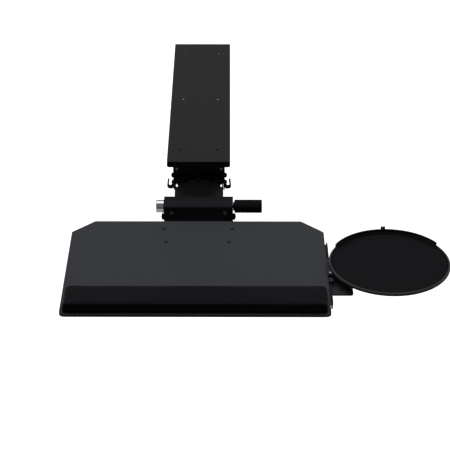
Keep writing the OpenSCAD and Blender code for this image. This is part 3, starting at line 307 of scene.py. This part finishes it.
def bare_metal(name, colour, dull, *, roughness, spread, stretch, depth):
    """Plated or polished metal with tool marks, duller patches and bright edges."""
    patch_scale = 45.0
    bright_edge = (0.9, 0.9, 0.9, 1.0)
    material, tree, shader = new_material(name)
    marks = place(tree, TOOL_MARKS, Stretch=stretch, Roughness=roughness, Spread=spread)
    edge = place(tree, EDGE_WEAR, Width=0.0005, Amount=0.5)
    patches = noise(tree, object_coordinates(tree), patch_scale, 4.0, 0.6)
    toned = mix_colour(tree, "MIX", patches, colour, dull)
    feed(tree, shader.inputs["Base Color"], mix_colour(tree, "MIX", edge.outputs["Mask"], toned, bright_edge))
    feed(tree, shader.inputs["Roughness"], marks.outputs["Roughness"])
    shader.inputs["Metallic"].default_value = 1.0
    bump(tree, shader, marks.outputs["Height"], 0.3, depth, edge.outputs["Normal"])
    return material


def palm_skin():
    """Smooth black leatherette with pebbled cells and a low sheen."""
    cell_scale, cell_gain = 900.0, 4.0
    material, tree, shader = new_material("palm_skin")
    body = place(tree, GRAIN, Colour=tint(5, 5, 8), Shade=0.35, Grain_Scale=700.0, Roughness=0.55, Spread=0.16)
    feed(tree, shader.inputs["Base Color"], body.outputs["Colour"])
    feed(tree, shader.inputs["Roughness"], body.outputs["Roughness"])
    cells = tree.nodes.new("ShaderNodeTexVoronoi")
    cells.feature = "DISTANCE_TO_EDGE"
    cells.inputs["Scale"].default_value = cell_scale
    feed(tree, cells.inputs["Vector"], object_coordinates(tree))
    pebble = math_node(tree, "MINIMUM", math_node(tree, "MULTIPLY", cells.outputs["Distance"], cell_gain), 1.0)
    shader.inputs["Specular IOR Level"].default_value = 0.02
    bump(tree, shader, math_node(tree, "ADD", pebble, body.outputs["Height"]), 0.25, 0.0001)
    return material


def mat_cloth():
    """Fine woven cloth of the mouse mat, with painted shade darkening it along the fence."""
    thread_scale = 420.0
    thread_share = 0.6
    material, tree, shader = new_material("mat_cloth")
    where = object_coordinates(tree)
    threads = []
    for direction in ("X", "Y"):
        wave = tree.nodes.new("ShaderNodeTexWave")
        wave.bands_direction = direction
        wave.inputs["Scale"].default_value = thread_scale
        wave.inputs["Distortion"].default_value = 0.6
        wave.inputs["Detail Scale"].default_value = 3.0
        feed(tree, wave.inputs["Vector"], where)
        threads.append(wave.outputs["Fac"])
    weave = math_node(tree, "MAXIMUM", *threads)
    body = place(tree, GRAIN, Colour=tint(24, 24, 26), Shade=0.5, Grain_Scale=1500.0, Roughness=0.86, Spread=0.1)
    woven = mix_colour(tree, "MIX", math_node(tree, "MULTIPLY", weave, thread_share),
                       tint(14, 14, 16), body.outputs["Colour"])
    # Painted shade: the cloth goes near-black next to the fence and rim, where their shadow would fall.
    painted_shade_node = place(tree, PAINTED_CORNER_SHADE, Reach=0.024, Deepest=0.8, Open=0.95)
    feed(tree, shader.inputs["Base Color"], mix_colour(tree, "MIX", painted_shade_node.outputs["Mask"], PAINTED_SHADE_TONE, woven))
    feed(tree, shader.inputs["Roughness"], body.outputs["Roughness"])
    shader.inputs["Specular IOR Level"].default_value = 0.02
    bump(tree, shader, math_node(tree, "ADD", weave, body.outputs["Height"]), 0.4, 0.00008)
    return material


POWDER = {"roughness": 0.5, "spread": 0.2, "shade": 0.35, "grain": 1400.0, "depth": 0.00006, "wear": 0.3,
          "specular": 0.03}
POWDER_BLACK = coated("powder_black", tint(23, 23, 25), tint(46, 46, 48), **POWDER)
# Lighter copy of the black powder coat: painted light on the arm channel, which lies in the track's shadow.
LIT_ARM_BLACK = coated("arm_black_painted_light", tint(53, 52, 53), tint(66, 66, 68), **POWDER)
TRACK_BLACK = coated("track_black", tint(24, 24, 26), tint(44, 44, 46), **dict(POWDER, grain=1200.0))
HEAD_BLACK = coated("head_black", tint(27, 27, 31), tint(44, 44, 47), roughness=0.42, spread=0.14, shade=0.3,
                    grain=1400.0, depth=0.00006, wear=0.2, specular=0.01)
# Black spring steel, made darker than the other black parts as painted shade for the dark space between the bracket and
# the arm; the pivot rods share it.
SHADED_SPRING_BLACK = coated("spring_black_painted_shade", tint(10, 10, 11), tint(16, 16, 17), roughness=0.5, spread=0.15, shade=0.3,
                      grain=900.0, depth=0.00004, wear=0.1, specular=0.01)
NYLON = coated("black_nylon", tint(20, 20, 21), tint(40, 40, 42), roughness=0.55, spread=0.12, shade=0.25,
               grain=700.0, depth=0.00004, wear=0.2, specular=0.03)
KNOB_GRIP = coated("knob_grip", tint(22, 22, 24), tint(36, 36, 38), roughness=0.65, spread=0.14, shade=0.3,
                   grain=1500.0, depth=0.00006, wear=0.3, specular=0.0)
# Lighter copy of the black powder coat: painted light on the mouse clip's shelf, which lies in the platform's shadow;
# the swing arm shares it.
LIT_CLIP_BLACK = coated("clip_black_painted_light", tint(37, 37, 39), tint(58, 58, 60), roughness=0.5, spread=0.16, shade=0.3,
                    grain=1500.0, depth=0.00006, wear=0.35, specular=0.04)
# The shell's bright worn colour and strong wear paint a highlight along the lip as well as wear; its reach paints shade
# at the foot of the fence and rim.
PLATFORM_SHELL = coated("platform_shell", tint(43, 43, 45), tint(84, 84, 87), roughness=0.4, spread=0.12, shade=0.22,
                        grain=1700.0, depth=0.00005, wear=0.5, specular=0.06, painted_shade_reach=0.02)
ZINC = bare_metal("zinc_plate", tint(150, 151, 154), tint(108, 109, 112), roughness=0.36, spread=0.2,
                  stretch=(0.15, 1.0, 1.0), depth=0.00003)
RIVET_ZINC = bare_metal("rivet_zinc", tint(112, 113, 116), tint(82, 83, 86), roughness=0.38, spread=0.2,
                        stretch=(0.2, 1.0, 1.0), depth=0.00003)
DARK_ZINC = bare_metal("dark_zinc", tint(44, 44, 47), tint(28, 28, 31), roughness=0.42, spread=0.2,
                       stretch=(0.2, 1.0, 1.0), depth=0.00003)
POLISHED = bare_metal("polished_steel", tint(150, 153, 158), tint(126, 129, 134), roughness=0.12, spread=0.08,
                      stretch=(1.0, 0.1, 0.1), depth=0.00001)
BOARD_FACE = edged_board_with_side_shade()
PALM_SKIN = palm_skin()
MAT_CLOTH = mat_cloth()

FINISHES = {
    TRACK_BLACK: ["track"],
    POWDER_BLACK: ["swivel_bracket", "cable_hook_left", "cable_hook_right", "hook_rivets", "lower_link", "tilt_yoke",
                   "tray_bracket", "mouse_rail"],
    LIT_ARM_BLACK: ["arm_channel"],
    HEAD_BLACK: ["head_housing", "front_pivot_rod", "board_screws"],
    SHADED_SPRING_BLACK: ["counterbalance_springs", "upper_pivot_rod", "lower_pivot_rod"],
    NYLON: ["track_end_caps", "carriage_glides", "swivel_washer", "spring_mandrel", "link_spacers", "arm_bushes",
            "link_bushes", "pivot_spacers", "dial_bushes"],
    ZINC: ["carriage_plate", "swivel_hub", "swivel_bolt", "swivel_nut", "link_pin", "tilt_shaft", "board_nuts",
           "rail_screws", "platform_screws", "swing_pin"],
    RIVET_ZINC: ["apron_rivets"],
    DARK_ZINC: ["head_screws"],
    POLISHED: ["shaft_end_cap", "tilt_nut"],
    BOARD_FACE: ["board"],
    KNOB_GRIP: ["tilt_knob", "knob_collar"],
    LIT_CLIP_BLACK: ["mouse_clip", "swing_arm"],
    PLATFORM_SHELL: ["mouse_platform", "cord_clip"],
    MAT_CLOTH: ["mouse_mat"],
    PALM_SKIN: ["palm_rest"],
}
for finish, names in FINISHES.items():
    for name in names:
        node = nodes[name]
        node.data.materials.clear()
        node.data.materials.append(finish)


# Meshes

def link_mesh(name, mesh, material):
    piece = bpy.data.objects.new(name, mesh)
    scene.collection.objects.link(piece)
    mesh.materials.append(material)
    return piece


def loft(name, rings, smooth=False):
    """Closed mesh through rings of points, with a flat face on each end."""
    shape = bmesh.new()
    loops = [[shape.verts.new(point) for point in ring] for ring in rings]
    for one, two in zip(loops, loops[1:]):
        count = len(one)
        for i in range(count):
            j = (i + 1) % count
            shape.faces.new((one[i], one[j], two[j], two[i])).smooth = smooth
    shape.faces.new(loops[0][::-1])
    shape.faces.new(loops[-1])
    bmesh.ops.recalc_face_normals(shape, faces=shape.faces)
    mesh = bpy.data.meshes.new(name)
    shape.to_mesh(mesh)
    shape.free()
    return mesh


# Palm rest, highest near its front, with rolled ends and a tucked foot; it swells by up to PALM_SWELL

PALM_CREST = 0.0178
PALM_TAIL = 0.0138
PALM_CROWN = 0.0005
PALM_FRONT_R = 0.0052
PALM_BACK_R = 0.0034
PALM_END_R = 0.0065
PALM_END_LOW, PALM_END_RISE = 0.55, 0.45
PALM_WAIST = 0.0006
PALM_TUCK = 0.0028
PALM_FOOT = ((1.0, 0.0), (0.6, 0.0014), (0.22, 0.0036), (0.0, 0.0068))
PALM_HELD = 0.0035
PALM_SWELL = 0.0008
PALM_STEPS = 10
PALM_END_STEPS = 9
PALM_SPANS = 40


def palm_section(x, half_w, low, front, back):
    """Points over the pad's top at one place along it, from its front foot to its back foot."""
    near = max(0.0, 1.0 - (half_w - abs(x)) / PALM_END_R)
    roll = math.sqrt(max(0.0, 1.0 - near * near))
    pull = PALM_END_R * (1.0 - roll) + PALM_SWELL + PALM_WAIST * math.cos(math.pi * x / (2 * half_w)) ** 2
    first, last = front + pull, back - pull
    outline = [(first + PALM_TUCK * share, height) for share, height in PALM_FOOT]
    start, stop = first + PALM_FRONT_R, last - PALM_BACK_R
    for i in range(PALM_STEPS + 1):
        angle = math.pi * (1.0 - 0.5 * i / PALM_STEPS)
        outline.append((start + PALM_FRONT_R * math.cos(angle),
                        PALM_CREST - PALM_FRONT_R + PALM_FRONT_R * math.sin(angle)))
    for i in range(1, PALM_STEPS):
        share = i / PALM_STEPS
        crown = PALM_CROWN * math.sin(math.pi * share)
        outline.append((start + (stop - start) * share, PALM_CREST + (PALM_TAIL - PALM_CREST) * share + crown))
    for i in range(PALM_STEPS + 1):
        angle = math.pi * 0.5 * (1.0 - i / PALM_STEPS)
        outline.append((stop + PALM_BACK_R * math.cos(angle),
                        PALM_TAIL - PALM_BACK_R + PALM_BACK_R * math.sin(angle)))
    outline += [(last, (PALM_TAIL - PALM_BACK_R) * 0.5), (last, 0.0)]
    return [Vector((x, y, low + z * (PALM_END_LOW + PALM_END_RISE * roll))) for y, z in outline]


def palm_form():
    """Closed pad along the palm rest's place."""
    low_corner, high_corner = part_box("palm_rest")
    half_w = high_corner.x - PALM_SWELL
    straight = half_w - PALM_END_R
    end = [half_w - PALM_END_R * (1 - math.cos(math.pi / 2 * i / PALM_END_STEPS)) for i in range(PALM_END_STEPS + 1)]
    middle = [(2 * i / PALM_SPANS - 1) * straight for i in range(1, PALM_SPANS)]
    across = [-x for x in end] + middle + end[::-1]
    rings = [palm_section(x, half_w, low_corner.z, low_corner.y, high_corner.y) for x in across]
    return link_mesh("palm_pad", loft("palm_pad", rings), PALM_SKIN)


def swell(pad, foot, limit):
    """Foam that presses its skin out: a short pressure run with the foot held, kept within a limit."""
    frames = 20
    remesh = pad.modifiers.new("skin", "REMESH")
    remesh.mode = "VOXEL"
    remesh.voxel_size = 0.004
    graph = bpy.context.evaluated_depsgraph_get()
    skin = bpy.data.meshes.new_from_object(pad.evaluated_get(graph))
    pad.modifiers.clear()
    pad.data = skin
    held = pad.vertex_groups.new(name="foot")
    held.add([v.index for v in skin.vertices if v.co.z < foot], 1.0, "REPLACE")
    start = [v.co.copy() for v in skin.vertices]
    cloth = pad.modifiers.new("foam", "CLOTH")
    cloth.settings.quality = 5
    cloth.settings.mass = 0.3
    cloth.settings.use_pressure = True
    cloth.settings.uniform_pressure_force = 4.0
    cloth.settings.vertex_group_mass = "foot"
    cloth.settings.effector_weights.gravity = 0.0
    cloth.point_cache.frame_start = 1
    cloth.point_cache.frame_end = frames
    for moment in range(1, frames + 1):
        scene.frame_set(moment)
    graph = bpy.context.evaluated_depsgraph_get()
    swollen = pad.evaluated_get(graph).to_mesh()
    reached = [v.co.copy() for v in swollen.vertices]
    pad.modifiers.clear()
    scene.frame_set(1)
    for vertex, before, after in zip(pad.data.vertices, start, reached):
        move = after - before
        if move.length > limit:
            move *= limit / move.length
        vertex.co = before + move
    smooth = pad.modifiers.new("smooth", "SUBSURF")
    smooth.levels = 1
    smooth.render_levels = 1


palm_pad = palm_form()
swell(palm_pad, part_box("palm_rest")[0].z + PALM_HELD, PALM_SWELL)
for face in palm_pad.data.polygons:
    face.use_smooth = True
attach(palm_pad, "tray")
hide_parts("palm_rest")


# Counterbalance springs, wound round the upper pivot between the bracket and the arm

WIRE_R = 0.0016
WIRE_SIDES = 12
CUT_END = 0.72
COIL_R = 0.011
COIL_PITCH = 0.0039
COIL_TURNS = 5
COIL_START = 0.0022
TURN_STEPS = 28
FRONT_LEG = 0.024
ARM_FALL, ARM_REACH = 0.0454, 0.084
ARM_SLOPE = math.atan2(ARM_FALL, ARM_REACH)


def spring_route(pivot, back):
    """Centre line of the right spring: back leg, turns round the upper pivot, leg under the arm's top plate."""
    sweep = math.tau * COIL_TURNS + math.pi - ARM_SLOPE
    count = round(sweep / math.tau * TURN_STEPS)
    turns = []
    for i in range(count + 1):
        angle = math.pi / 2 - sweep * i / count
        turns.append(Vector((COIL_START + COIL_PITCH * sweep / math.tau * i / count,
                             pivot.y + COIL_R * math.cos(angle), pivot.z + COIL_R * math.sin(angle))))
    forward = Vector((0.0, -math.cos(ARM_SLOPE), -math.sin(ARM_SLOPE))) * FRONT_LEG
    top = turns[0]
    back_leg = [Vector((top.x, top.y + (back - top.y) * share, top.z)) for share in (1.0, 0.98, 0.5)]
    return back_leg + turns + [turns[-1] + forward * share for share in (0.5, 0.97, 1.0)]


def wire_mesh(name, route):
    """Round wire along a route, with its two cut ends chamfered."""
    last = len(route) - 1
    rings = []
    for i, point in enumerate(route):
        along = (route[min(i + 1, last)] - route[max(i - 1, 0)]).normalized()
        across = (Vector((1.0, 0.0, 0.0)) - along * along.x).normalized()
        upward = along.cross(across)
        radius = WIRE_R * (CUT_END if i in (0, last) else 1.0)
        rings.append([point + radius * (math.cos(turn) * across + math.sin(turn) * upward)
                      for turn in (math.tau * k / WIRE_SIDES for k in range(WIRE_SIDES))])
    return loft(name, rings, smooth=True)


def wind_springs():
    """Right spring and its mirror image, twisted between the bracket and the arm."""
    rod_low, rod_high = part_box("upper_pivot_rod")
    pivot = (rod_low + rod_high) / 2
    right = spring_route(pivot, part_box("counterbalance_springs")[1].y)
    for name, hand in (("spring_right", 1.0), ("spring_left", -1.0)):
        spring = link_mesh(name, wire_mesh(name, [Vector((hand * p.x, p.y, p.z)) for p in right]), SHADED_SPRING_BLACK)
        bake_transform(spring)
        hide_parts("counterbalance_springs")


wind_springs()


# Floor, light and background

FLOOR_AT = (0.1, -0.25, -0.73)
FLOOR_REACH = 14.0


def seeing_rays(tree):
    """Sockets that are one for rays from the camera, and for rays from mirrors and glass."""
    rays = tree.nodes.new("ShaderNodeLightPath")
    mirror = math_node(tree, "MAXIMUM", rays.outputs["Is Glossy Ray"], rays.outputs["Is Transmission Ray"])
    return rays.outputs["Is Camera Ray"], mirror


def pale_floor():
    """Pale floor that keeps the tray's shadow, turns white further out and is clear from below."""
    fade_start, fade_stop, fade_low = 0.8, 2.6, 0.46
    unseen_tone, seen_tone = (0.05, 0.05, 0.05, 1.0), (0.93, 0.93, 0.93, 1.0)
    material, tree, shader = new_material("pale_floor")
    eye = math_node(tree, "MAXIMUM", *seeing_rays(tree))
    feed(tree, shader.inputs["Base Color"], mix_colour(tree, "MIX", eye, unseen_tone, seen_tone))
    shader.inputs["Roughness"].default_value = 0.9
    shader.inputs["Specular IOR Level"].default_value = 0.0
    shader.inputs["Emission Color"].default_value = WHITE
    away = tree.nodes.new("ShaderNodeVectorMath")
    away.operation = "LENGTH"
    feed(tree, away.inputs[0], object_coordinates(tree))
    fade = map_range(tree, away.outputs["Value"], fade_start, fade_stop, fade_low)
    feed(tree, shader.inputs["Emission Strength"], math_node(tree, "MULTIPLY", eye, fade))
    clear_below = tree.nodes.new("ShaderNodeMixShader")
    feed(tree, clear_below.inputs["Fac"], tree.nodes.new("ShaderNodeNewGeometry").outputs["Backfacing"])
    feed(tree, clear_below.inputs[1], shader.outputs[0])
    feed(tree, clear_below.inputs[2], tree.nodes.new("ShaderNodeBsdfTransparent").outputs[0])
    feed(tree, tree.nodes["Material Output"].inputs["Surface"], clear_below.outputs[0])
    mesh = bpy.data.meshes.new("floor")
    corners = [(x * FLOOR_REACH, y * FLOOR_REACH, 0.0) for x, y in ((-1, -1), (1, -1), (1, 1), (-1, 1))]
    mesh.from_pydata(corners, [], [(0, 1, 2, 3)])
    floor = link_mesh("floor", mesh, material)
    floor.location = FLOOR_AT


def studio_world():
    """White behind and overhead, dimmer on the typist's side; most light on the tray comes from above."""
    world = bpy.data.worlds.new("studio")
    world.use_nodes = True
    tree = world.node_tree
    shade = tree.nodes["Background"]
    shade.inputs["Color"].default_value = WHITE
    towards = tree.nodes.new("ShaderNodeSeparateXYZ")
    feed(tree, towards.inputs[0], tree.nodes.new("ShaderNodeTexCoord").outputs["Generated"])
    front = map_range(tree, towards.outputs["Y"], start=-0.5, stop=-0.05, low=0.4, high=1.0)
    fall = map_range(tree, towards.outputs["Z"], start=-0.1, stop=0.6, low=0.08, high=0.5, curve="LINEAR")
    camera_ray, mirror_ray = seeing_rays(tree)
    plain = math_node(tree, "SUBTRACT", 1.0, math_node(tree, "MAXIMUM", camera_ray, mirror_ray))
    falling = math_node(tree, "MULTIPLY", plain, fall)
    dimmed = math_node(tree, "MULTIPLY", math_node(tree, "ADD", mirror_ray, falling), front)
    feed(tree, shade.inputs["Strength"], math_node(tree, "ADD", camera_ray, dimmed))
    scene.world = world


def softbox(name, place_at, aim, size, power):
    light = bpy.data.lights.new(name, "AREA")
    light.shape = "RECTANGLE"
    light.size, light.size_y = size
    light.energy = power
    lamp = bpy.data.objects.new(name, light)
    lamp.location = place_at
    lamp.rotation_euler = (Vector(aim) - Vector(place_at)).to_track_quat("-Z", "Y").to_euler()
    scene.collection.objects.link(lamp)


pale_floor()
studio_world()
softbox("overhead", place_at=(0.1, 0.1, 2.0), aim=(0.1, -0.3, -0.1), size=(2.2, 1.0), power=44.0)
softbox("left_fill", place_at=(-2.2, -1.2, 1.3), aim=(0.0, -0.45, -0.1), size=(1.0, 1.0), power=2.0)

scene.view_settings.view_transform = "Standard"
